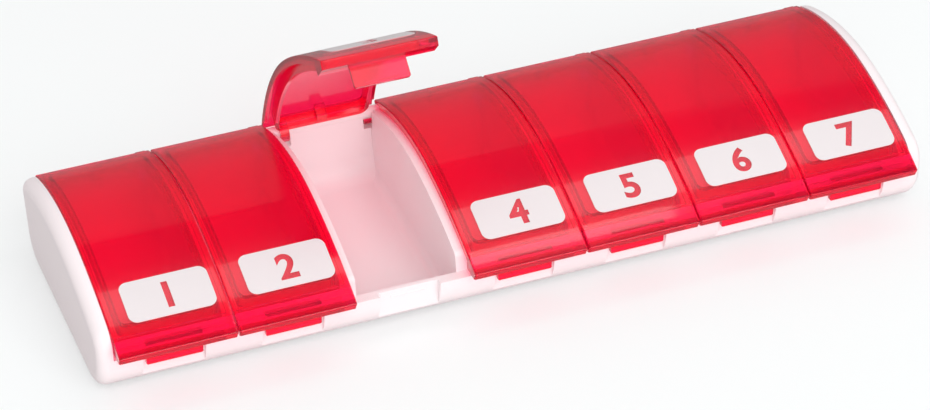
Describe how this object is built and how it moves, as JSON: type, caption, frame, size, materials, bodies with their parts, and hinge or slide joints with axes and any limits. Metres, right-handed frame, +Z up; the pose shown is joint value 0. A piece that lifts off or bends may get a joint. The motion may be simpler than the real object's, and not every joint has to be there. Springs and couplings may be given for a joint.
{
  "type": "weekly pill box",
  "caption": "Low arched pill box: a one-piece white tray with a row of day compartments, each under its own hinged clear red snap lid with a pale day field.",
  "frame": {"origin": "middle of the tray's flat underside, under the middle compartment", "axes": "+X along the row of compartments, from day 1 to day 7; +Y towards the hinges; +Z up"},
  "size_m": [0.2176, 0.0742, 0.0707],
  "materials": {
    "tray_plastic": "satin white",
    "lid_plastic": "clear red, polished",
    "label_print": "white print"
  },
  "bodies": {
    "tray": {"base_tray": "tray_plastic"},
    "lid_1": {"lid_1": "lid_plastic", "label_1": "label_print"},
    "lid_2": {"lid_2": "lid_plastic", "label_2": "label_print"},
    "lid_3": {"lid_3": "lid_plastic", "label_3": "label_print"},
    "lid_4": {"lid_4": "lid_plastic", "label_4": "label_print"},
    "lid_5": {"lid_5": "lid_plastic", "label_5": "label_print"},
    "lid_6": {"lid_6": "lid_plastic", "label_6": "label_print"},
    "lid_7": {"lid_7": "lid_plastic", "label_7": "label_print"}
  },
  "joints": [
    {"name": "lid_1_hinge", "type": "hinge", "parent": "tray", "child": "lid_1", "pos_m": [-0.09, 0.03522, 0.01708], "axis": [-1, 0, 0], "range_deg": [0, 100]},
    {"name": "lid_2_hinge", "type": "hinge", "parent": "tray", "child": "lid_2", "pos_m": [-0.06, 0.03522, 0.01708], "axis": [-1, 0, 0], "range_deg": [0, 100]},
    {"name": "lid_3_hinge", "type": "hinge", "parent": "tray", "child": "lid_3", "pos_m": [-0.03, 0.03522, 0.01708], "axis": [-1, 0, 0], "range_deg": [-50, 50]},
    {"name": "lid_4_hinge", "type": "hinge", "parent": "tray", "child": "lid_4", "pos_m": [0, 0.03522, 0.01708], "axis": [-1, 0, 0], "range_deg": [0, 100]},
    {"name": "lid_5_hinge", "type": "hinge", "parent": "tray", "child": "lid_5", "pos_m": [0.03, 0.03522, 0.01708], "axis": [-1, 0, 0], "range_deg": [0, 100]},
    {"name": "lid_6_hinge", "type": "hinge", "parent": "tray", "child": "lid_6", "pos_m": [0.06, 0.03522, 0.01708], "axis": [-1, 0, 0], "range_deg": [0, 100]},
    {"name": "lid_7_hinge", "type": "hinge", "parent": "tray", "child": "lid_7", "pos_m": [0.09, 0.03522, 0.01708], "axis": [-1, 0, 0], "range_deg": [0, 100]}
  ]
}
